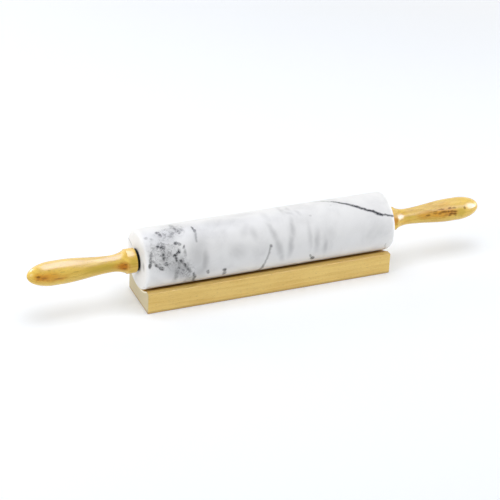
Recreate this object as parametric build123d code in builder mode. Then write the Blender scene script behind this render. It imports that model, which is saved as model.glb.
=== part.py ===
"""A marble rolling pin that lies in a wooden cradle.

Lengths are in millimetres. X runs along the pin, Y across it and Z up. The origin is on the ground,
under the middle of the cradle. The two ends of the pin are alike, so each end's pieces are drawn
outwards from the middle of the pin, once for the left side and once for the right.
"""

import os

from build123d import *

os.makedirs("parts", exist_ok=True)

# Marble barrel
barrel_length = 254.0
barrel_diameter = 57.0
barrel_edge_radius = 3.0

# Wooden cradle
cradle_length = 250.0
cradle_width = 53.0
cradle_height = 21.3
cradle_edge_radius = 1.0
trough_depth = 5.5
trough_extra_radius = 11.5

# Steel axle rod
axle_diameter = 8.0
thread_diameter = 6.0
thread_chamfer = 0.8
relief_width = 1.5
relief_depth = 0.6

# Flanged plain bushes in the ends of the barrel
bush_wall = 3.95
bush_sleeve_length = 18.0
bush_flange_diameter = 21.0
bush_flange_thickness = 2.0
bush_edge_radius = 0.4

# Thrust washers between the bushes and the handles
washer_diameter = 16.0
washer_thickness = 1.2
washer_proud = 0.2
washer_chamfer = 0.2

# Threaded inserts in the handles
insert_wall = 1.95
insert_length = 20.0
insert_barb_height = 0.5
insert_barb_count = 6

# Turned wooden handles: the neck's place is from the inner end, and the grip's land ends at the tip
handle_length = 102.5
collar_diameter = 23.5
collar_length = 8.8
collar_edge_radius = 0.4
collar_step = 0.7
collar_step_length = 0.4
neck_diameter = 15.8
neck_place = 22.3
grip_diameter = 22.7
grip_land_length = 8.2
tip_length = 24.0

# Fits and clearances
trough_rest_gap = 0.3
axle_running_clearance = 0.05
barrel_bore_clearance = 2.0
end_float = 0.3
bond_gap = 0.05
thread_gap = 0.05
seat_end_gap = 0.5
washer_seat_gap = 0.1
thread_short_of_insert = 3.2
hole_beyond_insert = 2.0
cut_overrun = 1.0

# Radii that follow from the sizes
barrel_radius = barrel_diameter / 2
trough_radius = barrel_radius + trough_extra_radius
axle_radius = axle_diameter / 2
thread_radius = thread_diameter / 2
bush_bore_radius = axle_radius + axle_running_clearance
bush_sleeve_radius = bush_bore_radius + bush_wall
insert_bore_radius = thread_radius + thread_gap
insert_crest_radius = insert_bore_radius + insert_wall
insert_root_radius = insert_crest_radius - insert_barb_height
collar_radius = collar_diameter / 2
neck_radius = neck_diameter / 2
grip_radius = grip_diameter / 2

# Places along and above the pin that follow from the sizes
trough_floor = cradle_height - trough_depth
axis_height = trough_floor + trough_rest_gap + barrel_radius
barrel_end = barrel_length / 2
flange_face = barrel_end + bush_flange_thickness
shoulder_place = flange_face + end_float
handle_face = shoulder_place + washer_proud
washer_back = shoulder_place + washer_thickness
insert_end = washer_back + insert_length
thread_end = insert_end - thread_short_of_insert
collar_end = handle_face + collar_length
cove_start = collar_end + collar_step_length
neck = handle_face + neck_place
handle_end = handle_face + handle_length
tip_start = handle_end - tip_length
grip = tip_start - grip_land_length

pin_axis = Axis((0, 0, axis_height), (1, 0, 0))
sides = {"left": -1, "right": 1}


def facing_out(side: int, place: float) -> Plane:
    """The plane square to the pin at this distance from its middle, facing away from the middle."""
    return Plane(origin=(side * place, 0, axis_height), x_dir=(0, 1, 0), z_dir=(side, 0, 0))


def facing_in(side: int, place: float) -> Plane:
    """The plane square to the pin at this distance from its middle, facing the middle."""
    return Plane(origin=(side * place, 0, axis_height), x_dir=(0, 1, 0), z_dir=(-side, 0, 0))


def lengthways(side: int) -> Plane:
    """The upright plane through the pin's axis: first the distance outwards, then the radius."""
    return Plane(origin=(0, 0, axis_height), x_dir=(side, 0, 0), z_dir=(0, -side, 0))


# The cradle is one block with a round trough along its top, a little wider than the barrel's curve
with BuildPart() as cradle:
    with BuildSketch(Plane.YZ.offset(-cradle_length / 2)):
        Rectangle(cradle_width, cradle_height, align=(Align.CENTER, Align.MIN))
        with Locations((0, trough_floor + trough_radius)):
            Circle(trough_radius, mode=Mode.SUBTRACT)
    extrude(amount=cradle_length)
    fillet(cradle.edges(), radius=cradle_edge_radius)
cradle.part.label = "cradle"
export_step(cradle.part, "parts/cradle.step")

# The barrel is a marble cylinder, bored through, with a deeper seat in each end for a bush
with BuildPart() as marble_barrel:
    with BuildSketch(facing_out(sides["right"], -barrel_end)):
        Circle(barrel_radius)
    extrude(amount=barrel_length)
    fillet(marble_barrel.edges().filter_by(GeomType.CIRCLE), radius=barrel_edge_radius)
    with Locations(*[facing_out(side, barrel_end) for side in sides.values()]):
        CounterBoreHole(
            radius=axle_radius + barrel_bore_clearance,
            counter_bore_radius=bush_sleeve_radius + bond_gap,
            counter_bore_depth=bush_sleeve_length + seat_end_gap,
        )
marble_barrel.part.label = "marble_barrel"
export_step(marble_barrel.part, "parts/marble_barrel.step")

# The rod runs through the barrel, and its shoulders set how close the handles come to the bushes
with BuildPart() as axle_rod:
    with BuildSketch(facing_out(sides["right"], -shoulder_place)):
        Circle(axle_radius)
    extrude(amount=2 * shoulder_place)
    for side in sides.values():
        outwards = Axis((0, 0, 0), (side, 0, 0))
        with BuildSketch(facing_out(side, shoulder_place)):
            Circle(thread_radius)
        extrude(amount=thread_end - shoulder_place)
        chamfer(axle_rod.faces().sort_by(outwards)[-1].edges(), length=thread_chamfer)
        with BuildSketch(facing_out(side, shoulder_place)):
            Circle(thread_radius + cut_overrun)
            Circle(thread_radius - relief_depth, mode=Mode.SUBTRACT)
        extrude(amount=relief_width, mode=Mode.SUBTRACT)
axle_rod.part.label = "axle_rod"
export_step(axle_rod.part, "parts/axle_rod.step")

for name, side in sides.items():
    outwards = Axis((0, 0, 0), (side, 0, 0))

    # The bush's sleeve is bonded into the barrel, and its flange covers the mouth of the seat
    with BuildPart() as bush:
        with BuildSketch(facing_out(side, barrel_end)):
            Circle(bush_flange_diameter / 2)
        extrude(amount=bush_flange_thickness)
        fillet(bush.faces().sort_by(outwards)[-1].edges(), radius=bush_edge_radius)
        with BuildSketch(facing_in(side, barrel_end)):
            Circle(bush_sleeve_radius)
        extrude(amount=bush_sleeve_length)
        with Locations(facing_out(side, flange_face)):
            Hole(bush_bore_radius)
    bush.part.label = f"bush_{name}"
    export_step(bush.part, f"parts/bush_{name}.step")

    # The washer is held between the rod's shoulder and the handle, and takes the barrel's side thrust
    with BuildPart() as thrust_washer:
        with BuildSketch(facing_out(side, shoulder_place)):
            Circle(washer_diameter / 2)
        extrude(amount=washer_thickness)
        chamfer(thrust_washer.edges().filter_by(GeomType.CIRCLE), length=washer_chamfer)
        with Locations(facing_out(side, washer_back)):
            Hole(insert_bore_radius)
    thrust_washer.part.label = f"thrust_washer_{name}"
    export_step(thrust_washer.part, f"parts/thrust_washer_{name}.step")

    # The insert is a barbed sleeve, drawn as rings that each rise outwards and then drop back
    barb_pitch = insert_length / insert_barb_count
    barb_points = []
    for barb in range(insert_barb_count):
        barb_start = washer_back + barb * barb_pitch
        barb_points.append((barb_start, insert_crest_radius))
        barb_points.append((barb_start + barb_pitch, insert_root_radius))
    with BuildPart() as threaded_insert:
        with BuildSketch(lengthways(side)):
            with BuildLine():
                Polyline(
                    (insert_end, insert_bore_radius),
                    (washer_back, insert_bore_radius),
                    *barb_points,
                    close=True,
                )
            make_face()
        revolve(axis=pin_axis)
    threaded_insert.part.label = f"threaded_insert_{name}"
    export_step(threaded_insert.part, f"parts/threaded_insert_{name}.step")

    # The handle's outline goes from its collar through the neck and the grip to an elliptical tip
    with BuildPart() as handle:
        with BuildSketch(lengthways(side)):
            with BuildLine():
                Polyline(
                    (handle_end, 0),
                    (handle_face, 0),
                    (handle_face, collar_radius),
                    (collar_end, collar_radius),
                    (cove_start, collar_radius - collar_step),
                )
                TangentArc(
                    (neck, neck_radius),
                    (cove_start, collar_radius - collar_step),
                    tangent=(-1, 0),
                )
                Spline((neck, neck_radius), (grip, grip_radius), tangents=((1, 0), (1, 0)))
                Line((grip, grip_radius), (tip_start, grip_radius))
                EllipticalCenterArc((tip_start, 0), x_radius=tip_length, y_radius=grip_radius)
            make_face()
        revolve(axis=pin_axis)
        collar_rim = handle.edges().filter_by(GeomType.CIRCLE).sort_by(outwards)[0]
        fillet(collar_rim, radius=collar_edge_radius)
        with Locations(facing_in(side, handle_face)):
            CounterBoreHole(
                radius=insert_crest_radius + bond_gap,
                counter_bore_radius=washer_diameter / 2 + washer_seat_gap,
                counter_bore_depth=washer_back - handle_face,
                depth=insert_end - handle_face + hole_beyond_insert,
            )
    handle.part.label = f"handle_{name}"
    export_step(handle.part, f"parts/handle_{name}.step")
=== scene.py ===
"""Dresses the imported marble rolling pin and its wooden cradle, and sets them up for a studio picture.

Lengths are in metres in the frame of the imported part: X runs along the pin, Y across it and Z up, with the
origin on the floor under the middle of the cradle. The patterns of the finishes are laid out in millimetres,
but how high a surface stands up is in metres. A place on the pin's round surface is given by its distance
along the pin from the middle and by its angle about the axis, from the top towards the camera's side.
"""

import logging
import math
from dataclasses import dataclass
from enum import Enum
from typing import Any

import bpy
import numpy as np
from mathutils import Color, Matrix, Vector


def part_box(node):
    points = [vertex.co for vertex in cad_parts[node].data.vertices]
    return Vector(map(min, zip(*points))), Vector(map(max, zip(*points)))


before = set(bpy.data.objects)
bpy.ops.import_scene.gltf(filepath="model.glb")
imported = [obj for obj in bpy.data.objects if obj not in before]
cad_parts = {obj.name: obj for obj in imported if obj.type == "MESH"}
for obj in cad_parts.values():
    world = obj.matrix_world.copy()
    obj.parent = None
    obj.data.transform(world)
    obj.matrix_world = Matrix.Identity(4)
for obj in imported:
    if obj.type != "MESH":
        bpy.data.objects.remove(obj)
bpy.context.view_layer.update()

log = logging.getLogger("rolling_pin")

MM = 0.001

Colour = tuple[float, float, float]
Pair = tuple[float, float]
Point = tuple[float, float, float]
Values = dict[Any, Any]
Node = bpy.types.Node
Socket = bpy.types.NodeSocket
Material = bpy.types.Material

FULL_LEVEL = 255
NOISE_MIDDLE = 0.5


def linear(red: float, green: float, blue: float) -> Colour:
    """Turns a colour seen on a screen, its parts from 0 to 255, into the linear colour that shaders take."""
    screen = Color((red / FULL_LEVEL, green / FULL_LEVEL, blue / FULL_LEVEL))
    return tuple(screen.from_srgb_to_scene_linear())


class Wire:
    """A number that changes over a surface, as a node's output, which takes part in sums as a number does."""

    def __init__(self, nodes: "Nodes", socket: Socket) -> None:
        """Holds the socket and the nodes that it belongs to."""
        self.nodes = nodes
        self.socket = socket

    def _sum(self, operation: str, first: Any, second: Any = 0.0) -> "Wire":
        """Adds one Math node and returns its result."""
        return self.nodes.wire("ShaderNodeMath", {"operation": operation}, {0: first, 1: second})

    def __add__(self, other: Any) -> "Wire":
        """This and the other, added."""
        return self._sum("ADD", self, other)

    __radd__ = __add__

    def __sub__(self, other: Any) -> "Wire":
        """This less the other."""
        return self._sum("SUBTRACT", self, other)

    def __rsub__(self, other: Any) -> "Wire":
        """The other less this."""
        return self._sum("SUBTRACT", other, self)

    def __mul__(self, other: Any) -> "Wire":
        """This times the other."""
        return self._sum("MULTIPLY", self, other)

    __rmul__ = __mul__

    def __truediv__(self, other: Any) -> "Wire":
        """This divided by the other."""
        return self._sum("DIVIDE", self, other)

    def __rtruediv__(self, other: Any) -> "Wire":
        """The other divided by this."""
        return self._sum("DIVIDE", other, self)

    def larger(self, other: Any) -> "Wire":
        """The larger of this and the other."""
        return self._sum("MAXIMUM", self, other)

    def smaller(self, other: Any) -> "Wire":
        """The smaller of this and the other."""
        return self._sum("MINIMUM", self, other)

    def size(self) -> "Wire":
        """This without its sign."""
        return self._sum("ABSOLUTE", self)

    def sign(self) -> "Wire":
        """1 where this is above 0 and -1 where it is below."""
        return self._sum("SIGN", self)

    def part(self) -> "Wire":
        """What is left of this after its whole number is taken away."""
        return self._sum("FRACT", self)

    def rise(self, start: float, end: float, low: float = 0.0, high: float = 1.0) -> "Wire":
        """Goes smoothly from low to high while this goes from start to end, and stays there beyond both."""
        sockets = {"Value": self, "From Min": start, "From Max": end, "To Min": low, "To Max": high}
        return self.nodes.wire("ShaderNodeMapRange", {"interpolation_type": "SMOOTHSTEP"}, sockets)


@dataclass(frozen=True)
class Waves:
    """How a place is moved about before something is drawn there, so that its edges waver.

    Attributes:
        size: The waves' size, in millimetres.
        reach: How far they move the place, at most about half of this each way, in millimetres.
        detail: How many finer layers they have.
    """

    size: float
    reach: float
    detail: float = 2.0


@dataclass(frozen=True)
class Noise:
    """Blotches spread over a piece.

    Attributes:
        size: Their size, in millimetres.
        detail: How many finer layers lie over them.
        roughness: How strong the finer layers are, from 0 to 1.
        start: The noise's value, of about 0.3 to 0.7, where the result is low.
        end: The noise's value where the result is high.
        low: The result at the start and below.
        high: The result at the end and beyond.
        along: What the distance along the pin is multiplied by, so that they are drawn out that way.
        waves: What moves them about, if anything does.
    """

    size: float
    detail: float = 2.0
    roughness: float = 0.5
    start: float = 0.0
    end: float = 1.0
    low: float = 0.0
    high: float = 1.0
    along: float = 1.0
    waves: Waves | None = None


class Nodes:
    """The nodes of a material or of the world."""

    def __init__(self, owner: bpy.types.ID) -> None:
        """Gives the owner an empty set of nodes.

        Args:
            owner: The material or the world.
        """
        owner.use_nodes = True
        self.tree = owner.node_tree
        self.tree.nodes.clear()

    def node(self, kind: str, settings: Values | None = None, sockets: Values | None = None) -> Node:
        """Adds one node.

        Args:
            kind: The node's type.
            settings: The node's own settings, which are set first.
            sockets: What goes into each input, by its name or its number: a value, a socket or a Wire.

        Returns:
            The new node.
        """
        made = self.tree.nodes.new(kind)
        for name, value in (settings or {}).items():
            setattr(made, name, value)
        for name, value in (sockets or {}).items():
            if isinstance(value, Wire):
                value = value.socket
            if isinstance(value, Socket):
                self.tree.links.new(value, made.inputs[name])
            else:
                made.inputs[name].default_value = value
        return made

    def wire(self, kind: str, settings: Values | None = None, sockets: Values | None = None) -> Wire:
        """Adds one node and returns its first output as a number."""
        return Wire(self, self.node(kind, settings, sockets).outputs[0])

    def _vector(self, operation: str, *parts: Any) -> Node:
        """Adds one Vector Math node."""
        return self.node("ShaderNodeVectorMath", {"operation": operation}, dict(enumerate(parts)))

    def vector(self, operation: str, *parts: Any) -> Socket:
        """Adds one Vector Math node and returns the vector that it gives."""
        return self._vector(operation, *parts).outputs["Vector"]

    def dot(self, first: Any, second: Any) -> Wire:
        """Returns the dot product of two vectors."""
        return Wire(self, self._vector("DOT_PRODUCT", first, second).outputs["Value"])

    def length(self, vector: Any) -> Wire:
        """Returns the length of a vector."""
        return Wire(self, self._vector("LENGTH", vector).outputs["Value"])

    def scaled(self, vector: Any, factor: Any) -> Socket:
        """Returns the vector times a number."""
        made = self.node("ShaderNodeVectorMath", {"operation": "SCALE"}, {"Vector": vector, "Scale": factor})
        return made.outputs["Vector"]

    def stretched(self, vector: Any, along: float) -> Socket:
        """Returns the vector with its first part times a number."""
        return self.vector("MULTIPLY", vector, (along, 1.0, 1.0))

    def joined(self, x: Any, y: Any, z: Any = 0.0) -> Socket:
        """Returns a vector made of three numbers."""
        return self.node("ShaderNodeCombineXYZ", {}, {"X": x, "Y": y, "Z": z}).outputs["Vector"]

    def parts(self, vector: Any) -> tuple[Wire, Wire, Wire]:
        """Returns the three numbers of a vector."""
        made = self.node("ShaderNodeSeparateXYZ", {}, {"Vector": vector})
        return tuple(Wire(self, output) for output in made.outputs)

    def place(self) -> Socket:
        """Returns the place on the piece in the part's frame, in metres."""
        return self.node("ShaderNodeTexCoord").outputs["Object"]


class Shader(Nodes):
    """The nodes of one material."""

    def __init__(self, name: str) -> None:
        """Makes an empty material of this name."""
        self.material = bpy.data.materials.new(name)
        super().__init__(self.material)

    def millimetres(self) -> Socket:
        """Returns the place on the piece in the part's frame, in millimetres."""
        return self.scaled(self.place(), 1 / MM)

    def _noise(self, place: Any, size: float, detail: float, roughness: float = 0.5) -> Node:
        """Adds one noise node, with its Fac and Color outputs."""
        sockets = {"Vector": place, "Scale": 1 / size, "Detail": detail, "Roughness": roughness}
        return self.node("ShaderNodeTexNoise", {}, sockets)

    def stirred(self, place: Any, waves: Waves) -> Socket:
        """Moves a place by a noise.

        Args:
            place: The place to move.
            waves: How it is moved.

        Returns:
            The moved place.
        """
        moving = self._noise(place, waves.size, waves.detail).outputs["Color"]
        centred = self.vector("SUBTRACT", moving, (NOISE_MIDDLE, NOISE_MIDDLE, NOISE_MIDDLE))
        return self.vector("ADD", place, self.scaled(centred, waves.reach))

    def raw_noise(self, place: Any, noise: Noise) -> Wire:
        """Draws a noise as it comes, before it is sorted into low and high.

        Args:
            place: The place to read it at.
            noise: The noise.

        Returns:
            The number, mostly from 0.3 to 0.7.
        """
        if noise.along != 1.0:
            place = self.stretched(place, noise.along)
        if noise.waves:
            place = self.stirred(place, noise.waves)
        return Wire(self, self._noise(place, noise.size, noise.detail, noise.roughness).outputs["Fac"])

    def noise(self, place: Any, noise: Noise) -> Wire:
        """Draws a noise at a place, as a number that goes smoothly from its low result to its high one."""
        return self.raw_noise(place, noise).rise(noise.start, noise.end, noise.low, noise.high)

    def mixed(self, factor: Any, first: Any, second: Any) -> Socket:
        """Mixes two colours, given as sockets or as linear colours.

        Args:
            factor: How much of the second there is.
            first: The colour where the factor is 0.
            second: The colour where the factor is 1.

        Returns:
            The mixed colour.
        """
        ends = [(*colour, 1.0) if isinstance(colour, tuple) else colour for colour in (first, second)]
        settings = {"data_type": "RGBA", "clamp_factor": True}
        return self.node("ShaderNodeMix", settings, {0: factor, 6: ends[0], 7: ends[1]}).outputs[2]

    def bump(self, height: Any, depth: float) -> Socket:
        """Returns a surface direction roughened by a height, of which 1 stands this deep, in metres."""
        sockets = {"Strength": 1.0, "Distance": depth, "Height": height}
        return self.node("ShaderNodeBump", {}, sockets).outputs["Normal"]

    def finish(self, **sockets: Any) -> Material:
        """Adds the surface shader.

        Args:
            **sockets: Its inputs, with the spaces in their names written as underscores.

        Returns:
            The finished material.
        """
        named = {name.replace("_", " "): value for name, value in sockets.items()}
        for name, value in named.items():
            if isinstance(value, tuple) and name.endswith("Color"):
                named[name] = (*value, 1.0)
        surface = self.node("ShaderNodeBsdfPrincipled", {}, named)
        self.node("ShaderNodeOutputMaterial", {}, {"Surface": surface.outputs["BSDF"]})
        return self.material


@dataclass(frozen=True)
class Mark:
    """A soft oval mark on a round piece.

    Attributes:
        along: Its middle's distance along the pin, in millimetres.
        angle: Its middle's angle from the top towards the front, in degrees.
        length: Half its length, in millimetres.
        width: Half its width, in millimetres.
        turn: How far its length is turned from the pin's direction towards the front, in degrees.
        strength: How strong it is, from 0 to 1.
    """

    along: float
    angle: float
    length: float
    width: float
    turn: float
    strength: float


@dataclass(frozen=True)
class Vein:
    """A line drawn on a round piece through points.

    Attributes:
        width: Half its width, in millimetres.
        strength: How strong it is, from 0 to 1.
        path: The points, each as its distance along the pin in millimetres and its angle in degrees.
    """

    width: float
    strength: float
    path: tuple[Pair, ...]


# The first marks of each table are on the side that the photograph shows. The others go on round the back.
MARBLE_VEINS = (
    Vein(1.4, 0.5, ((62, -13), (68, -5), (74, 2))),
    Vein(1.9, 0.9, ((71, -3), (79, 8), (85, 15), (90, 22))),
    Vein(2.2, 1, ((88, 19), (95, 28), (100, 34), (107, 40), (110, 45))),
    Vein(2.2, 1, ((109, 44), (114, 48.5))),
    Vein(1.6, 0.85, ((113, 47.5), (118, 50), (122, 53), (127, 55), (131, 59))),
    Vein(1.1, 0.6, ((130, 58), (136, 61), (144, 70))),
    Vein(1.8, 0.45, ((-4, 73), (-5.6, 87), (-8, 101), (-9.7, 118))),
    Vein(2.2, 0.65, ((-9.7, 116), (-10.6, 134), (-16, 152))),
    Vein(1.5, 0.35, ((-74, 22), (-76, 44))),
    Vein(2.2, 0.45, ((-94, 74), (-89.5, 85), (-86.5, 94), (-84, 101))),
    Vein(2, 0.7, ((-80.5, 106), (-79.3, 118), (-78.6, 134), (-72, 150))),
    Vein(1.1, 0.25, ((118, 113), (121, 137), (119, 160))),
    Vein(0.9, 0.3, ((62, -13), (57, -19), (52, -28), (45, -36), (40, -46), (33, -58))),
    Vein(1.2, 0.5, ((34, -57), (30, -70), (25, -83), (15, -98), (9, -112))),
    Vein(1.5, 0.65, ((10, -111), (2, -126), (-3, -141), (-12, -154), (-18, -168))),
    Vein(1.1, 0.5, ((-141, -60), (-130, -66), (-122, -75), (-117, -86))),
    Vein(1.9, 0.85, ((-118, -84), (-112, -92), (-107, -101), (-98, -106), (-91, -114))),
    Vein(1.5, 0.75, ((-92, -113), (-85, -120), (-81, -131), (-76, -144), (-74, -160))),
    Vein(0.9, 0.4, ((-107, -101), (-101, -91), (-93, -87), (-84, -84), (-76, -86))),
    Vein(0.9, 0.35, ((78, -92), (84, -99), (90, -103))),
    Vein(1.4, 0.65, ((89, -102), (96, -110), (103, -116), (109, -128))),
    Vein(1.7, 0.75, ((108, -127), (115, -133), (123, -136), (129, -144))),
    Vein(1.1, 0.5, ((128, -143), (136, -148), (145, -150))),
    Vein(0.9, 0.3, ((99, -113), (102, -102), (107, -95), (113, -91), (121, -80))),
    Vein(0.9, 0.22, ((-55, -58), (-49, -70), (-46, -84), (-48, -99), (-43, -112))),
)
MARBLE_SPECKS = (
    Mark(-122, 20, 2.6, 2.2, 0, 0.4), Mark(-117, 25, 3, 1.8, 40, 0.28), Mark(-109.4, 10.5, 3, 2.4, 30, 0.75),
    Mark(-107.8, 18, 4, 2.4, 80, 0.75), Mark(-104.2, 18, 4.4, 2, 80, 0.35), Mark(-92.8, -4, 5, 2.8, 80, 0.4),
    Mark(-91.6, 7, 5.4, 2.2, 72, 0.55), Mark(-89.6, 17, 3.8, 2.5, 80, 0.8),
    Mark(-85.8, 12, 3.6, 1.9, 60, 0.45), Mark(-96.5, 20, 5.6, 2.1, 130, 0.5),
    Mark(-75, 13, 3.6, 1.7, 80, 0.8), Mark(-74.3, 20, 3.2, 1.9, 80, 0.85),
    Mark(-95.8, 40.5, 3.2, 2.6, 20, 0.95), Mark(-92.6, 43, 2.6, 2.2, 20, 0.6),
    Mark(-113.6, 42.4, 2.5, 2.1, 0, 0.9), Mark(-109.2, 44.5, 3.9, 2.7, 10, 0.95),
    Mark(-109.4, 37, 3.2, 1.6, 80, 0.5), Mark(-118, 43, 3.2, 1.6, 10, 0.4),
    Mark(-121.6, 56, 4.4, 2.1, 95, 0.6), Mark(-122.6, 66, 5.2, 2.7, 95, 0.8),
    Mark(-123.8, 75, 3.8, 2.5, 95, 0.8), Mark(-119.6, 69, 3, 1.8, 60, 0.6),
    Mark(-117, 77, 4.2, 2.2, 35, 0.8), Mark(-113, 83, 5, 2.8, 40, 0.85),
    Mark(-109.9, 62, 5.4, 2.1, 88, 0.85), Mark(-108, 76.5, 3, 2.5, 60, 0.9),
    Mark(-103.5, 57, 3.2, 1.6, 50, 0.45), Mark(-99, 63, 3.2, 2.2, 160, 0.95),
    Mark(-96.6, 59.5, 3.6, 2, 140, 0.9), Mark(-94.4, 56, 2.9, 2.3, 90, 0.95),
    Mark(-97.9, 70, 4.2, 2.3, 80, 0.85), Mark(-88.9, 50, 2.9, 1.7, 110, 0.7),
    Mark(-88.5, 62, 5.6, 2, 92, 0.45), Mark(-93.4, 75, 3, 2.1, 60, 0.85), Mark(-89.8, 84, 2.9, 2.2, 60, 0.9),
    Mark(-86.6, 93, 3.4, 1.9, 60, 0.7), Mark(-98, 104, 8, 3, 88, 0.45), Mark(-79, 118, 6, 2.4, 87, 0.8),
    Mark(-66.3, 109, 4, 2.2, 80, 0.7), Mark(-49.5, 111, 4.4, 2.8, 75, 0.85),
    Mark(-48.8, 123, 5.4, 2.6, 85, 0.7), Mark(-3.8, 74.5, 2.4, 1.9, 70, 0.65),
    Mark(-9.8, 125, 4.6, 2.5, 95, 0.65), Mark(41.2, 120, 4.2, 2.9, 75, 1),
    Mark(38.6, 112, 4.2, 1.7, 60, 0.55), Mark(42, 27, 2, 1.6, 0, 0.2), Mark(67, 8, 2, 1.6, 0, 0.15),
    Mark(70, -128, 4.4, 3, 20, 0.9), Mark(76, -136, 3.4, 2.4, 80, 0.95), Mark(64, -141, 5.4, 2.2, 130, 0.7),
    Mark(58, -120, 3, 2.2, 60, 0.7), Mark(81, -121, 4, 1.9, 100, 0.6), Mark(-33, -128, 3.4, 2.5, 30, 0.9),
    Mark(-61, -92, 4.2, 2.2, 75, 0.7), Mark(12, -72, 2.8, 2, 40, 0.6), Mark(-116, -128, 4.4, 2.6, 60, 0.8),
    Mark(108, 168, 4, 2.5, 70, 0.8),
)
MARBLE_CLOUDS = (
    Mark(-95, 92, 26, 18, 55, 0.6), Mark(-83, 116, 19, 12, 70, 0.5), Mark(-92, 8, 17, 11, 160, 0.35),
    Mark(-107, 60, 24, 19, 80, 0.4), Mark(-106, 22, 18, 11, 170, 0.25), Mark(-75.6, 36, 14, 4, 95, 0.4),
    Mark(-70.3, 80, 22, 6.5, 94, 0.6), Mark(-76, 66, 30, 16, 100, 0.42), Mark(-74, 104, 20, 12, 90, 0.4),
    Mark(-98, 112, 14, 5.5, 88, 0.5), Mark(-87, 126, 10, 5, 88, 0.45), Mark(-37, 72, 15, 11, 20, 0.25),
    Mark(-26, 33, 16, 7, 120, 0.18), Mark(-19, 44, 12, 6, 80, 0.25), Mark(0.4, 50, 18, 4.6, 75, 0.4),
    Mark(4.6, 80, 17, 5.2, 77, 0.45), Mark(7.6, 102, 11, 4.6, 76, 0.35), Mark(20.6, 46, 18, 4.4, 97, 0.36),
    Mark(17, 82, 18, 4.8, 97, 0.46), Mark(17, -4, 14, 3.8, 88, 0.28), Mark(22, 12, 8, 3.6, 40, 0.28),
    Mark(24, -4, 7, 2.8, 88, 0.22), Mark(31, 15, 7, 3.2, 60, 0.22), Mark(37, 68, 22, 4.2, 90, 0.3),
    Mark(44, 78, 18, 5, 92, 0.42), Mark(52.4, 94, 16, 4.4, 88, 0.34), Mark(-44, 10, 44, 11, 3, 0.26),
    Mark(-74, 10, 16, 10, 30, 0.2), Mark(-94, -8, 16, 7, 0, 0.22), Mark(-24, -6, 26, 7, 0, 0.2),
    # The cloud at -136.3 lies on the left end face and darkens it beside the bush.
    Mark(-136.3, 82, 5, 10, 0, 0.7), Mark(-2, 12, 14, 6, 80, 0.16), Mark(60, -120, 30, 20, 30, 0.5),
    Mark(-60, -110, 26, 9, 70, 0.4), Mark(-20, -80, 24, 6, 100, 0.35), Mark(8, -120, 26, 7, 80, 0.4),
    Mark(-104, -116, 24, 15, 40, 0.45), Mark(104, -60, 22, 7, 110, 0.3), Mark(36, 170, 28, 11, 20, 0.35),
    Mark(-60, 168, 24, 12, 150, 0.35),
)
MARBLE_BROKEN = (
    Mark(-109, 58, 22, 19, 80, 1), Mark(-97, 14, 21, 11, 165, 0.8), Mark(-90, 92, 22, 12, 60, 0.9),
    Mark(68, -130, 24, 15, 20, 0.9), Mark(-104, -112, 20, 12, 50, 0.8),
)

HANDLE_OLIVE = (
    Mark(-164, 78, 26, 7, 0, 0.8), Mark(-133.5, 68, 5, 5, 0, 0.6), Mark(154, 66, 12, 4.5, 0, 0.5),
    Mark(208, 82, 8, 7, 0, 0.6),
)
HANDLE_WARM = (
    Mark(-215, 80, 18, 6.5, 2, 0.9), Mark(-202, 88, 10, 4, -2, 0.5), Mark(-225.5, 76, 9, 8, 0, 0.85),
    Mark(-150, 84, 11, 5, 0, 0.6), Mark(188, 74, 20, 7, 0, 0.95), Mark(173, 72, 14, 7, 0, 0.7),
    Mark(192, 26, 9, 4, 0, 0.3), Mark(150, 100, 10, 4, 0, 0.35), Mark(-190, -110, 26, 6, 4, 0.5),
    Mark(180, -120, 22, 6, -4, 0.5), Mark(-165, 170, 18, 4, 0, 0.4),
)
HANDLE_KNOTS = (
    Mark(-144.4, 89, 9.4, 7.4, 0, 1), Mark(-221.5, 78, 10, 4.4, 2, 0.7), Mark(-204, 92, 8, 2, -2, 0.4),
    # The knot at 135.8 darkens the right collar where it lies in shade by the barrel: part knot, part painted
    # shade.
    Mark(135.8, 72, 3.4, 6, 0, 0.65), Mark(198, 76, 9, 4.5, 3, 0.5), Mark(-178, -118, 7, 4, 4, 0.6),
)
HANDLE_STAINS = (
    Mark(-226, 70, 3.6, 1.9, 0, 1), Mark(-219.5, 79, 4, 1.3, 3, 0.6), Mark(-229, 68, 2.6, 1.1, 0, 0.5),
    Mark(-213, 47, 2.2, 1, 0, 0.4), Mark(-205, 90, 6, 1, -3, 0.45), Mark(-201, 63, 3.2, 0.8, 2, 0.35),
    Mark(-189, 72, 4.4, 0.8, -2, 0.35), Mark(-141.8, 76, 3.2, 1.3, 0, 0.8),
    Mark(-143.2, 101, 3.6, 1.5, 0, 0.7), Mark(-146.5, 66, 3, 0.8, 6, 0.4), Mark(174, 75, 2.9, 1.7, 0, 1),
    Mark(180.5, 59, 3.6, 1.2, 0, 0.75), Mark(181, 69, 3.6, 1.3, 2, 0.75), Mark(187, 52, 4.2, 1.1, 3, 0.8),
    Mark(185.3, 74, 2.8, 1.5, 0, 1), Mark(189.5, 68, 5.6, 1.9, 0, 0.95), Mark(194, 68, 2, 1.5, 0, 0.95),
    Mark(196, 54, 3.2, 1.2, 2, 1), Mark(200.8, 54.5, 3.4, 1.1, 3, 0.8), Mark(197.6, 69, 3.2, 1.4, 0, 0.9),
    Mark(201.2, 73, 3.6, 1.4, 6, 0.9), Mark(197, 82, 3.4, 1.6, 0, 1), Mark(200.8, 85, 3.6, 1.5, 6, 1),
    Mark(195.6, 90, 2.6, 1.7, 0, 0.85), Mark(202.2, 96, 2, 1.4, 0, 0.65), Mark(212.3, 62, 1.9, 2.2, 0, 0.85),
    Mark(176, 60, 3.8, 0.9, 0, 0.4), Mark(191, 90, 4.2, 0.9, 0, 0.4), Mark(-196, -115, 5, 1.1, 3, 0.6),
    Mark(-186, -104, 4.6, 1, -3, 0.5), Mark(188, -118, 5.2, 1.1, 2, 0.6), Mark(176, -128, 4.4, 1, 0, 0.5),
)


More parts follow.
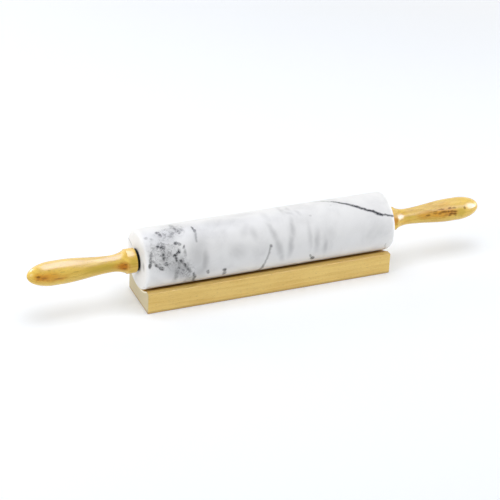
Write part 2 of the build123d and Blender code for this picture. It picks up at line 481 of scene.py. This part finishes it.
class RoundSurface:
    """The pin's surface, unrolled flat: the first number runs along the pin and the second around it."""

    def __init__(self, shader: Shader, place: Any, axis_height: float, radius: float) -> None:
        """Works out the unrolled place, which is the angle from the top towards the front times the radius.

        An end face is unrolled too, as if the round surface went on: the distance along the pin grows by the
        depth below the round surface, outwards on both sides.

        Args:
            shader: The shader that draws on it.
            place: The place in the part's frame, in millimetres.
            axis_height: The height of the pin's axis, in millimetres.
            radius: The radius that it is unrolled at, in millimetres.
        """
        self.shader = shader
        self.radius = radius
        along, across, up = shader.parts(place)
        above = up - axis_height
        depth = (radius - shader.length(shader.joined(0.0, across, above))).larger(0.0)
        angle = shader.wire("ShaderNodeMath", {"operation": "ARCTAN2"}, {0: across * -1.0, 1: above})
        self.flat = shader.joined(along + along.sign() * depth, angle * radius)

    def wavering(self, waves: Waves) -> Socket:
        """Returns the unrolled place moved about, and still flat, so that what is drawn has uneven edges."""
        return self.shader.vector("MULTIPLY", self.shader.stirred(self.flat, waves), (1.0, 1.0, 0.0))

    def _spot(self, along: float, angle: float) -> Vector:
        """Returns the unrolled place of a point that is given along the pin and in degrees."""
        return Vector((along, math.radians(angle) * self.radius, 0.0))

    def marks(self, flat: Any, marks: tuple[Mark, ...], core: float) -> Wire:
        """Draws ovals. Where they overlap, the strongest shows.

        The way from an oval's middle to the place, taken along the oval and across it and each divided by its
        half size there, makes a vector whose length is 1 at the oval's edge. The strength falls smoothly from
        the core to the edge. No Mapping node is used: the renderer can't hold a hundred of them.

        Args:
            flat: The unrolled place, as a rule a wavering one.
            marks: The ovals.
            core: The share of each that has its full strength.

        Returns:
            The strength, from 0 to 1.
        """
        shader = self.shader
        drawn = None
        for mark in marks:
            turn = math.radians(mark.turn)
            ahead = Vector((math.cos(turn), math.sin(turn), 0.0))
            aside = Vector((-math.sin(turn), math.cos(turn), 0.0))
            way = shader.vector("SUBTRACT", flat, self._spot(mark.along, mark.angle))
            local = shader.joined(shader.dot(way, ahead / mark.length), shader.dot(way, aside / mark.width))
            oval = shader.length(local).rise(1.0, core, 0.0, mark.strength)
            drawn = oval if drawn is None else drawn.larger(oval)
        return drawn

    def veins(self, flat: Any, veins: tuple[Vein, ...], core: float) -> Wire:
        """Draws lines, as wide as the distance to the nearest point of each straight stretch.

        The way from a stretch's start to the place, measured along the stretch and held between 0 and its
        length, gives how far along it the nearest point is. The distance to that point, in half widths of the
        line, is 1 at the line's edge.

        Args:
            flat: The unrolled place, as a rule a wavering one.
            veins: The lines.
            core: The share of each line's width that has its full strength.

        Returns:
            The strength, from 0 to 1.
        """
        shader = self.shader
        drawn = None
        for vein in veins:
            points = [self._spot(*point) for point in vein.path]
            for start, end in zip(points, points[1:]):
                run = (end - start) / vein.width
                ahead = run.normalized()
                way = shader.scaled(shader.vector("SUBTRACT", flat, start), 1 / vein.width)
                reach = shader.dot(way, ahead).smaller(run.length).larger(0.0)
                gap = shader.vector("SUBTRACT", way, shader.scaled(ahead, reach))
                line = shader.length(gap).rise(1.0, core, 0.0, vein.strength)
                drawn = line if drawn is None else drawn.larger(line)
        return drawn


@dataclass(frozen=True)
class Marble:
    """Honed white marble with grey clouds, patches broken into flakes, dark specks and thin dark veins.

    The colours are those of the plain stone, its clouds, and its veins and specks.
    """

    name: str = "honed_veined_marble"
    white: Colour = linear(236, 236, 236)
    cloud: Colour = linear(167, 167, 168)
    dark: Colour = linear(50, 50, 53)
    roughness: float = 0.36
    gloss: float = 0.12

    # The share of the light that scatters inside it, and how far that light goes, in metres
    depth: float = 1.0
    reach: float = 0.009

    # What the edges of veins and specks, and those of clouds and broken patches, are moved about by
    ragged: Waves = Waves(3.4, 2.6, 5.0)
    drifting: Waves = Waves(12.0, 5.0, 3.0)

    # The faint clouds all over it, the flakes and the cracks between them, and what breaks up the dark marks
    haze: Noise = Noise(30.0, 5.0, 0.6, start=0.40, end=0.75, high=0.22, waves=Waves(45.0, 40.0))
    wisps: Noise = Noise(9.0, 4.0, 0.6, start=0.46, end=0.78, high=0.35, waves=Waves(16.0, 14.0))
    flakes: Noise = Noise(4.0, 4.0, 0.6, start=0.47, end=0.62, waves=Waves(5.0, 6.0))
    seams: Noise = Noise(6.0, 3.0, 0.55, waves=Waves(7.0, 5.0))
    seam_width: float = 0.028
    grains: Noise = Noise(1.9, 3.0, 0.65, start=0.34, end=0.58, low=0.35)
    crystals: Noise = Noise(0.6, 2.0, 0.6, start=0.3, end=0.7)

    # How strong the layers are, from 0 to 1
    wisps_in_broken: float = 0.7
    flakes_share: float = 0.32
    seams_share: float = 0.6
    crystals_share: float = 0.035
    least_vein: float = 0.7

    # The share of each kind of mark that has its full strength
    speck_core: float = 0.35
    patch_core: float = 0.3
    cloud_core: float = 0.0
    vein_core: float = 0.15

    # What crystals and dark marks change of how matt it is, and how far the crystals stand up, in metres
    rough_spread: float = 0.03
    dark_roughness: float = 0.12
    crystal_height: float = 0.000004

    veins: tuple[Vein, ...] = MARBLE_VEINS
    specks: tuple[Mark, ...] = MARBLE_SPECKS
    clouds: tuple[Mark, ...] = MARBLE_CLOUDS
    broken: tuple[Mark, ...] = MARBLE_BROKEN

    def build(self, axis_height: float, radius: float) -> Material:
        """Builds the material.

        Args:
            axis_height: The height of the barrel's axis, in millimetres.
            radius: The barrel's radius, in millimetres.

        Returns:
            The material.
        """
        shader = Shader(self.name)
        place = shader.millimetres()
        barrel = RoundSurface(shader, place, axis_height, radius)
        ragged = barrel.wavering(self.ragged)
        drifting = barrel.wavering(self.drifting)

        haze = shader.noise(place, self.haze)
        wisps = shader.noise(place, self.wisps)
        flakes = shader.noise(place, self.flakes)
        broken = barrel.marks(drifting, self.broken, self.patch_core)
        clouds = barrel.marks(drifting, self.clouds, self.cloud_core)
        wispy = wisps * (haze + broken * self.wisps_in_broken)
        grey = clouds + haze + wispy + broken * flakes * self.flakes_share
        body = shader.mixed(grey, self.white, self.cloud)

        seams = (shader.raw_noise(place, self.seams) - NOISE_MIDDLE).size().rise(self.seam_width, 0.0)
        grains = shader.noise(place, self.grains)
        specks = barrel.marks(ragged, self.specks, self.speck_core) * grains
        lines = barrel.veins(ragged, self.veins, self.vein_core) * grains.rise(0.0, 1.0, self.least_vein)
        dark = lines.larger(specks).larger(seams * broken * self.seams_share)
        tone = shader.mixed(dark, body, self.dark)

        raw_crystals = shader.raw_noise(place, self.crystals)
        crystals = raw_crystals.rise(self.crystals.start, self.crystals.end)
        tone = shader.mixed(crystals * self.crystals_share, tone, self.cloud)
        rough = self.roughness - self.rough_spread + crystals * (2 * self.rough_spread)
        return shader.finish(
            Base_Color=tone,
            Roughness=rough + dark * self.dark_roughness,
            Specular_IOR_Level=self.gloss,
            Normal=shader.bump(raw_crystals, self.crystal_height),
            Subsurface_Weight=self.depth,
            Subsurface_Radius=(1.0, 1.0, 1.0),
            Subsurface_Scale=self.reach,
        )


class Cut(Enum):
    """How a piece of wood was shaped."""

    TURNED = "turned on a lathe"
    PLANED = "planed as a block"


@dataclass(frozen=True)
class Hardwood:
    """Pale hardwood under clear lacquer, with its growth rings, fibres and pores running along the pin.

    A year's growth goes from pale to ripe. Olive and warm patches, knots and dark stains are marks on a
    turned piece, each kind in its own tone. A planed block shows its end grain, with a painted highlight on
    the end's rim beside the trough, and painted shade in the trough and along its foot.

    Attributes:
        heart: Where the tree's heart would be, across the piece and above the floor, in millimetres.
        figure: How much a year's growth darkens towards its end, from 0 to 1.
        lacquer_bend: The lacquer's index of refraction.
        unrolled_radius: The radius that a turned piece is unrolled at, in millimetres.
    """

    name: str
    cut: Cut
    pale: Colour
    ripe: Colour
    pore: Colour
    heart: Pair
    ring_width: float
    figure: float
    olive: tuple[Mark, ...] = ()
    warm: tuple[Mark, ...] = ()
    knots: tuple[Mark, ...] = ()
    stains: tuple[Mark, ...] = ()
    olive_tone: Colour = linear(202, 170, 38)
    warm_tone: Colour = linear(222, 158, 20)
    knot_tone: Colour = linear(196, 122, 16)
    stain_tone: Colour = linear(118, 78, 8)
    end_tone: Colour = linear(197, 188, 157)
    # The pale rim tone is a painted highlight; the trough tone below it is painted shade.
    painted_highlight_tone: Colour = linear(250, 242, 218)
    painted_trough_shade_tone: Colour = linear(196, 138, 64)
    roughness: float = 0.5
    gloss: float = 0.1
    lacquer: float = 1.0
    lacquer_roughness: float = 0.2
    lacquer_bend: float = 1.5
    unrolled_radius: float = 11.0

    # What sways the rings, where in a year they are darkest, and how uneven that is by year and along the pin
    swaying: Waves = Waves(14.0, 9.0, 3.0)
    swaying_along: float = 0.12
    darkest: Pair = (0.85, 0.88)
    uneven: Noise = Noise(1.0, 1.0, start=0.35, end=0.65, low=0.35)
    uneven_by_year: float = 0.8
    uneven_along: float = 0.01

    # What lies over the rings, and how strongly
    fibres: Noise = Noise(0.55, 3.0, 0.7, start=0.35, end=0.65, along=0.03)
    flecks: Noise = Noise(0.8, 2.0, 0.6, start=0.52, end=0.7, along=0.14)
    blotches: Noise = Noise(9.0, 3.0, start=0.36, end=0.66, along=0.28)
    pores: Noise = Noise(0.34, 1.0, start=0.63, end=0.72, along=0.1)
    fibres_share: float = 0.22
    flecks_share: float = 0.2
    blotches_share: float = 0.34
    pores_share: float = 0.45

    # How high fibres stand and how deep flecks go beside a pore, and how deep that is
    fibre_height: float = 0.25
    fleck_depth: float = 0.2
    pore_depth: float = 0.00003

    # A turned piece: its marks' edges and cores, how fibres break the stains up, and how bare they are
    streaky: Waves = Waves(3.0, 1.8, 4.0)
    core: float = 0.3
    torn: tuple[float, float, float] = (0.1, 0.7, 0.6)
    warm_flecks_share: float = 0.55
    knots_bare: float = 0.7
    stains_lacquer: float = 0.1

    # A planed block: the distances between which each layer fades, and how strong it is
    end_pores: Noise = Noise(0.5, 1.0, start=0.6, end=0.7)
    end_pores_share: float = 0.4
    end_rings_share: float = 0.18
    end_edge: Pair = (0.9, 0.3)
    # The pale rim on the end beside the trough is a painted highlight.
    painted_highlight_edge: Pair = (2.0, 0.9)
    painted_highlight_share: float = 0.8
    # The darker trough is painted shade.
    trough_edge: Pair = (0.5, 0.1)
    trough_end: Pair = (0.4, 0.9)
    painted_trough_shade_share: float = 0.55
    # The darker band along the foot is painted shade.
    painted_shade_foot_edge: Pair = (3.6, 0.3)
    painted_foot_shade_share: float = 0.7
    bare_lacquer: float = 0.2

    def _turned(self, surface: RoundSurface, tone: Any, fibres: Wire, flecks: Wire) -> tuple[Any, Wire]:
        """Lays the patches, knots and stains over a turned piece.

        Args:
            surface: The piece's unrolled surface.
            tone: The wood's colour.
            fibres: The fibres, which break the stains up.
            flecks: The flecks, which darken in the warm patches.

        Returns:
            The new colour, and how strong the lacquer is.
        """
        shader = surface.shader
        streaky = surface.wavering(self.streaky)
        tone = shader.mixed(surface.marks(streaky, self.olive, self.core), tone, self.olive_tone)
        warm = surface.marks(streaky, self.warm, self.core)
        tone = shader.mixed(warm, tone, self.warm_tone)
        knotty = surface.marks(streaky, self.knots, self.core)
        tone = shader.mixed(knotty, tone, self.knot_tone)
        stained = surface.marks(streaky, self.stains, self.core) * fibres.rise(*self.torn)
        stained = stained.larger(warm * flecks * self.warm_flecks_share)
        tone = shader.mixed(stained, tone, self.stain_tone)
        bare = stained.larger(knotty * self.knots_bare)
        return tone, bare.rise(0.0, 1.0, self.lacquer, self.lacquer * self.stains_lacquer)

    def _planed(
        self, shader: Shader, place: Any, tone: Any, ripe: Wire, ends: float, trough: Pair
    ) -> tuple[Any, Wire]:
        """Gives a planed block its end grain, and paints a highlight beside its trough and shade in it and at
        its foot.

        Args:
            shader: The shader that draws it.
            place: The place, in millimetres.
            tone: The wood's colour.
            ripe: The growth rings.
            ends: Half the block's length, in millimetres.
            trough: The height of the middle of the trough's curve and its radius, in millimetres.

        Returns:
            The new colour, and how strong the lacquer is.
        """
        along, across, up = shader.parts(place)
        from_end = ends - along.size()
        end = from_end.rise(*self.end_edge)
        end_pores = shader.noise(place, self.end_pores)
        end_dark = ripe * self.end_rings_share + end_pores * self.end_pores_share
        tone = shader.mixed(end, tone, shader.mixed(end_dark, self.end_tone, self.ripe))
        middle, radius = trough
        below = shader.length(shader.joined(0.0, across, up - middle)) - radius
        # The end's rim beside the trough is lightened: a painted highlight.
        tone = shader.mixed(end * below.rise(*self.painted_highlight_edge) * self.painted_highlight_share, tone, self.painted_highlight_tone)
        # The trough is darkened: painted shade. Its lacquer is thinner too.
        hollow = below.rise(*self.trough_edge) * from_end.rise(*self.trough_end)
        tone = shader.mixed(hollow * self.painted_trough_shade_share, tone, self.painted_trough_shade_tone)
        # Darker towards the floor: painted shade along the foot.
        tone = shader.mixed(up.rise(*self.painted_shade_foot_edge) * self.painted_foot_shade_share, tone, self.pore)
        return tone, end.larger(hollow).rise(0.0, 1.0, self.lacquer, self.lacquer * self.bare_lacquer)

    def build(self, axis_height: float = 0.0, ends: float = 0.0, trough: Pair = (0.0, 0.0)) -> Material:
        """Builds the material.

        Args:
            axis_height: The height of a turned piece's axis, in millimetres.
            ends: Half a planed block's length, in millimetres.
            trough: The height of the middle of its trough's curve and its radius, in millimetres.

        Returns:
            The material.
        """
        shader = Shader(self.name)
        place = shader.millimetres()
        along = shader.parts(place)[0]

        swaying = shader.stirred(shader.stretched(place, self.swaying_along), self.swaying)
        sideways, upwards = shader.parts(swaying)[1:]
        from_heart = shader.joined(0.0, sideways - self.heart[0], upwards - self.heart[1])
        years = shader.length(from_heart) / self.ring_width
        year = years.part()
        ripe = year.rise(0.0, self.darkest[0]) * year.rise(1.0, self.darkest[1])
        by_year = shader.joined(years * self.uneven_by_year, along * self.uneven_along)
        rings = ripe * shader.noise(by_year, self.uneven) * self.figure

        fibres = shader.noise(place, self.fibres)
        flecks = shader.noise(place, self.flecks)
        blotches = shader.noise(place, self.blotches) * self.blotches_share
        darkening = rings + fibres * self.fibres_share + flecks * self.flecks_share + blotches
        tone = shader.mixed(darkening, self.pale, self.ripe)
        pores = shader.noise(place, self.pores)
        tone = shader.mixed(pores * self.pores_share, tone, self.pore)

        if self.cut is Cut.TURNED:
            surface = RoundSurface(shader, place, axis_height, self.unrolled_radius)
            tone, lacquer = self._turned(surface, tone, fibres, flecks)
        else:
            tone, lacquer = self._planed(shader, place, tone, ripe, ends, trough)

        height = fibres * self.fibre_height - pores - flecks * self.fleck_depth
        return shader.finish(
            Base_Color=tone,
            Roughness=self.roughness,
            Specular_IOR_Level=self.gloss,
            Normal=shader.bump(height, self.pore_depth),
            Coat_Weight=lacquer,
            Coat_Roughness=self.lacquer_roughness,
            Coat_IOR=self.lacquer_bend,
        )


@dataclass(frozen=True)
class Nylon:
    """Black moulded plastic with a fine matt surface and paler scuffs."""

    name: str = "moulded_black_nylon"
    tone: Colour = linear(5, 5, 5)
    worn: Colour = linear(20, 19, 18)
    roughness: float = 0.5
    rough_spread: float = 0.06
    gloss: float = 0.12
    grains: Noise = Noise(0.3, 2.0, 0.6, start=0.3, end=0.7)
    grain_height: float = 0.00001
    scuffs: Noise = Noise(2.5, 4.0, 0.65, start=0.5, end=0.75, high=0.4)

    def build(self) -> Material:
        """Builds the material.

        Returns:
            The material.
        """
        shader = Shader(self.name)
        place = shader.millimetres()
        grains = shader.noise(place, self.grains)
        rough = grains.rise(0.0, 1.0, self.roughness - self.rough_spread, self.roughness + self.rough_spread)
        return shader.finish(
            Base_Color=shader.mixed(shader.noise(place, self.scuffs), self.tone, self.worn),
            Roughness=rough,
            Specular_IOR_Level=self.gloss,
            Normal=shader.bump(grains, self.grain_height),
        )


class Alloy(Enum):
    """A metal, by its colour where it mirrors."""

    STEEL = (0.60, 0.60, 0.61)
    BRASS = (0.83, 0.63, 0.28)


@dataclass(frozen=True)
class TurnedMetal:
    """Metal turned on a lathe, with fine rings about the pin's axis left by the tool, and dull stains.

    Its roughness goes from polished at the foot of a ring to rough at its top.
    """

    alloy: Alloy
    ring_width: float = 0.12
    ring_height: float = 0.000004
    polished: float = 0.23
    rough: float = 0.35
    stains: Noise = Noise(3.0, 4.0, 0.6, start=0.4, end=0.7)
    stains_share: float = 0.6
    stains_roughness: float = 0.06
    dullness: float = 0.72

    def build(self, axis_height: float) -> Material:
        """Builds the material. The rings follow the distance along the pin plus the distance from its axis.

        Args:
            axis_height: The height of the pin's axis, in millimetres.

        Returns:
            The material.
        """
        shader = Shader(f"turned_{self.alloy.name.lower()}")
        place = shader.millimetres()
        along, across, up = shader.parts(place)
        from_axis = shader.length(shader.joined(0.0, across, up - axis_height))
        ring = ((along + from_axis) / self.ring_width).part()
        groove = ring.rise(0.0, 0.5) * ring.rise(1.0, 0.5)
        stains = shader.noise(place, self.stains)
        dull = tuple(part * self.dullness for part in self.alloy.value)
        return shader.finish(
            Base_Color=shader.mixed(stains * self.stains_share, self.alloy.value, dull),
            Metallic=1.0,
            Roughness=groove.rise(0.0, 1.0, self.polished, self.rough) + stains * self.stains_roughness,
            Normal=shader.bump(groove, self.ring_height),
        )


class Side(Enum):
    """An end of the pin."""

    LEFT = "left"
    RIGHT = "right"

    def of(self, piece: str) -> str:
        """Returns the name of this end's node of a paired piece."""
        return f"{piece}_{self.value}"


def dress(node: str, material: Material) -> None:
    """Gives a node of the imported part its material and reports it.

    Args:
        node: The node's name.
        material: Its material.
    """
    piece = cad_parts[node]
    if not piece.material_slots:
        piece.data.materials.append(material)
    for slot in piece.material_slots:
        slot.material = material
    log.info("%s: %d faces, finished in %s", node, len(piece.data.polygons), material.name)


@dataclass
class Cradle:
    """The wooden block that the pin lies in, with the depth of its trough and the radius of its curve."""

    node: str = "cradle"
    trough_depth: float = 5.5
    trough_radius: float = 40.0
    wood: Hardwood = Hardwood(
        name="lacquered_cradle_wood",
        cut=Cut.PLANED,
        pale=linear(244, 210, 120),
        ripe=linear(226, 184, 90),
        pore=linear(150, 108, 50),
        heart=(38.0, -75.0),
        ring_width=4.5,
        figure=0.4,
    )

    def dress(self) -> None:
        """Dresses the block."""
        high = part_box(self.node)[1]
        middle = high.z / MM - self.trough_depth + self.trough_radius
        dress(self.node, self.wood.build(ends=high.x / MM, trough=(middle, self.trough_radius)))


@dataclass
class Barrel:
    """The marble cylinder, with the flanged bush bonded into each end."""

    node: str = "marble_barrel"
    bush: str = "bush"
    marble: Marble = Marble()
    nylon: Nylon = Nylon()

    @property
    def radius(self) -> float:
        """The barrel's radius, in millimetres."""
        low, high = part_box(self.node)
        return (high.z - low.z) / 2 / MM

    @property
    def axis_height(self) -> float:
        """The height of the barrel's axis, in millimetres."""
        low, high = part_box(self.node)
        return (high.z + low.z) / 2 / MM

    def dress(self) -> None:
        """Dresses the cylinder and the bushes."""
        dress(self.node, self.marble.build(self.axis_height, self.radius))
        nylon = self.nylon.build()
        for side in Side:
            dress(side.of(self.bush), nylon)


@dataclass
class Axle:
    """The rod and what is fixed to it: the washers, the threaded inserts and the handles."""

    rod: str = "axle_rod"
    washer: str = "thrust_washer"
    insert: str = "threaded_insert"
    handle: str = "handle"
    steel: TurnedMetal = TurnedMetal(Alloy.STEEL)
    brass: TurnedMetal = TurnedMetal(Alloy.BRASS, ring_width=0.2)
    wood: Hardwood = Hardwood(
        name="lacquered_handle_wood",
        cut=Cut.TURNED,
        pale=linear(238, 202, 84),
        ripe=linear(210, 164, 44),
        pore=linear(116, 70, 20),
        heart=(9.0, 12.0),
        ring_width=2.6,
        figure=0.45,
        olive=HANDLE_OLIVE,
        warm=HANDLE_WARM,
        knots=HANDLE_KNOTS,
        stains=HANDLE_STAINS,
    )

    def dress(self, axis_height: float) -> None:
        """Dresses the rod and everything fixed to it.

        Args:
            axis_height: The height of the pin's axis, in millimetres.
        """
        steel = self.steel.build(axis_height)
        brass = self.brass.build(axis_height)
        wood = self.wood.build(axis_height)
        dress(self.rod, steel)
        for side in Side:
            dress(side.of(self.washer), steel)
            dress(side.of(self.insert), brass)
            dress(side.of(self.handle), wood)


@dataclass(frozen=True)
class Lamp:
    """A soft rectangular lamp. Its level is how bright its face is, and only mirrors show a card."""

    name: str
    place: Point
    aim: Point
    size: Pair
    level: float
    card: bool = False


MIDDLE = (0.0, 0.0, 0.0)
LEFT_HANDLE = (-0.2, 0.0, 0.045)
RIGHT_HANDLE = (0.2, 0.0, 0.045)


@dataclass
class Studio:
    """The floor, the sky, the lamps and the camera.

    The camera looks to the right of straight ahead by its yaw and down by its pitch, and its roll turns the
    picture, all in degrees.
    """

    camera_place: Point = (-0.58866, -1.30814, 0.82448)
    camera_yaw: float = 23.753
    camera_pitch: float = 28.908
    camera_roll: float = 2.789
    clipping: Pair = (0.05, 50.0)

    # The lens, in millimetres
    focal_length: float = 123.479
    sensor_width: float = 36.0

    # The floor glows a little for the camera, which sees it turn white between two distances from the middle
    floor_radius: float = 6.0
    floor_sides: int = 96
    floor_tone: Colour = (0.85, 0.88, 0.925)
    floor_glow: float = 0.13
    floor_fade: Pair = (0.6, 1.2)

    sky_level: float = 0.49
    card_tint: Colour = (0.6, 0.74, 1.3)
    lamps: tuple[Lamp, ...] = (
        Lamp("top_lamp", (0.0, 0.0, 1.2), MIDDLE, (0.8, 0.8), 2.65),
        Lamp("top_card", (0.0, 0.37, 1.19), (0.0, 0.37, 0.0), (0.85, 1.64), 5.8, card=True),
        Lamp("front_card", (0.72, -0.85, 1.0), RIGHT_HANDLE, (0.5, 1.0), 2.7, card=True),
        Lamp("top_right_card", (0.7, 0.45, 1.19), (0.7, 0.45, 0.0), (0.5, 1.5), 1.3, card=True),
        Lamp("back_lamp", (-0.3, 1.2, 0.7), MIDDLE, (1.6, 0.7), 0.65),
        Lamp("left_lamp", (-1.3, -0.1, 0.45), MIDDLE, (0.6, 0.6), 4.3),
        Lamp("left_back_lamp", (-0.8, 1.1, 0.62), LEFT_HANDLE, (0.5, 0.5), 2.98),
        Lamp("left_back_card", (-0.79, 1.09, 0.62), LEFT_HANDLE, (0.5, 0.5), 6.0, card=True),
        Lamp("right_lamp", (1.1, -0.45, 0.3), RIGHT_HANDLE, (0.5, 0.5), 4.2),
        Lamp("right_end_lamp", (1.3, 0.05, 0.2), RIGHT_HANDLE, (0.5, 0.4), 4.0),
        Lamp("right_card", (1.1, -0.37, 0.32), RIGHT_HANDLE, (0.6, 0.9), 7.5, card=True),
    )

    def camera(self) -> None:
        """Makes the camera, which looks straight down until it is rolled, tipped up and turned."""
        yaw, pitch, roll = (math.radians(a) for a in (self.camera_yaw, self.camera_pitch, self.camera_roll))
        rolled = Matrix.Rotation(roll, 4, "Z")
        tipped = Matrix.Rotation(math.pi / 2 - pitch, 4, "X")
        turned = Matrix.Rotation(-yaw, 4, "Z")
        lens = bpy.data.cameras.new("camera")
        lens.sensor_width = self.sensor_width
        lens.lens = self.focal_length
        lens.clip_start, lens.clip_end = self.clipping
        camera = bpy.data.objects.new("camera", lens)
        camera.matrix_world = Matrix.Translation(self.camera_place) @ turned @ tipped @ rolled
        bpy.context.scene.collection.objects.link(camera)
        bpy.context.scene.camera = camera

    def floor(self) -> None:
        """Makes the floor, whose rim is a circle, and its shader, which mirrors see as plain white."""
        turns = np.linspace(0.0, 2 * np.pi, self.floor_sides, endpoint=False)
        rim = np.stack([np.cos(turns), np.sin(turns), np.zeros_like(turns)], axis=1) * self.floor_radius
        mesh = bpy.data.meshes.new("floor")
        mesh.from_pydata(rim.tolist(), [], [list(range(len(rim)))])
        floor = bpy.data.objects.new("floor", mesh)
        bpy.context.scene.collection.objects.link(floor)
        shader = Shader("studio_floor")
        rays = shader.node("ShaderNodeLightPath").outputs
        seen = Wire(shader, rays["Is Camera Ray"])
        mirrored = Wire(shader, rays["Is Glossy Ray"]).larger(Wire(shader, rays["Is Transmission Ray"]))
        whiteness = mirrored.larger(seen * shader.length(shader.place()).rise(*self.floor_fade))
        matt = shader.node("ShaderNodeBsdfDiffuse", {}, {"Color": (*self.floor_tone, 1.0)})
        glow = shader.node("ShaderNodeEmission", {}, {"Strength": seen * self.floor_glow})
        lit = shader.node("ShaderNodeAddShader", {}, {0: matt.outputs[0], 1: glow.outputs[0]})
        white = shader.node("ShaderNodeEmission", {}, {"Strength": 1.0})
        both = shader.node("ShaderNodeMixShader", {}, {0: whiteness, 1: lit.outputs[0], 2: white.outputs[0]})
        shader.node("ShaderNodeOutputMaterial", {}, {"Surface": both.outputs[0]})
        mesh.materials.append(shader.material)

    def sky(self) -> None:
        """Makes the even light from all round, which the camera and mirrors see as white."""
        world = bpy.data.worlds.new("sky")
        bpy.context.scene.world = world
        nodes = Nodes(world)
        rays = nodes.node("ShaderNodeLightPath").outputs
        seen = Wire(nodes, rays["Is Camera Ray"]).larger(Wire(nodes, rays["Is Glossy Ray"]))
        level = seen * (1.0 - self.sky_level) + self.sky_level
        light = nodes.node("ShaderNodeBackground", {}, {"Color": (1.0, 1.0, 1.0, 1.0), "Strength": level})
        nodes.node("ShaderNodeOutputWorld", {}, {"Surface": light.outputs[0]})

    def light(self, lamp: Lamp) -> None:
        """Makes one lamp. Its power is the brightness of its face times its area times pi.

        Args:
            lamp: The lamp.
        """
        width, height = lamp.size
        light = bpy.data.lights.new(lamp.name, "AREA")
        light.shape = "RECTANGLE"
        light.size = width
        light.size_y = height
        light.energy = lamp.level * math.pi * width * height
        placed = bpy.data.objects.new(lamp.name, light)
        ahead = Vector(lamp.aim) - Vector(lamp.place)
        turn = ahead.to_track_quat("-Z", "Y").to_matrix().to_4x4()
        placed.matrix_world = Matrix.Translation(lamp.place) @ turn
        if lamp.card:
            light.color = self.card_tint
            placed.visible_diffuse = False
        bpy.context.scene.collection.objects.link(placed)

    def build(self) -> None:
        """Builds the studio."""
        bpy.context.scene.view_settings.view_transform = "Standard"
        self.camera()
        self.floor()
        self.sky()
        for lamp in self.lamps:
            self.light(lamp)


def main() -> None:
    """Dresses the sub-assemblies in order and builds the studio."""
    logging.basicConfig(level=logging.INFO, format="%(message)s")
    barrel = Barrel()
    barrel.dress()
    Cradle().dress()
    Axle().dress(barrel.axis_height)
    Studio().build()


if __name__ == "__main__":
    main()
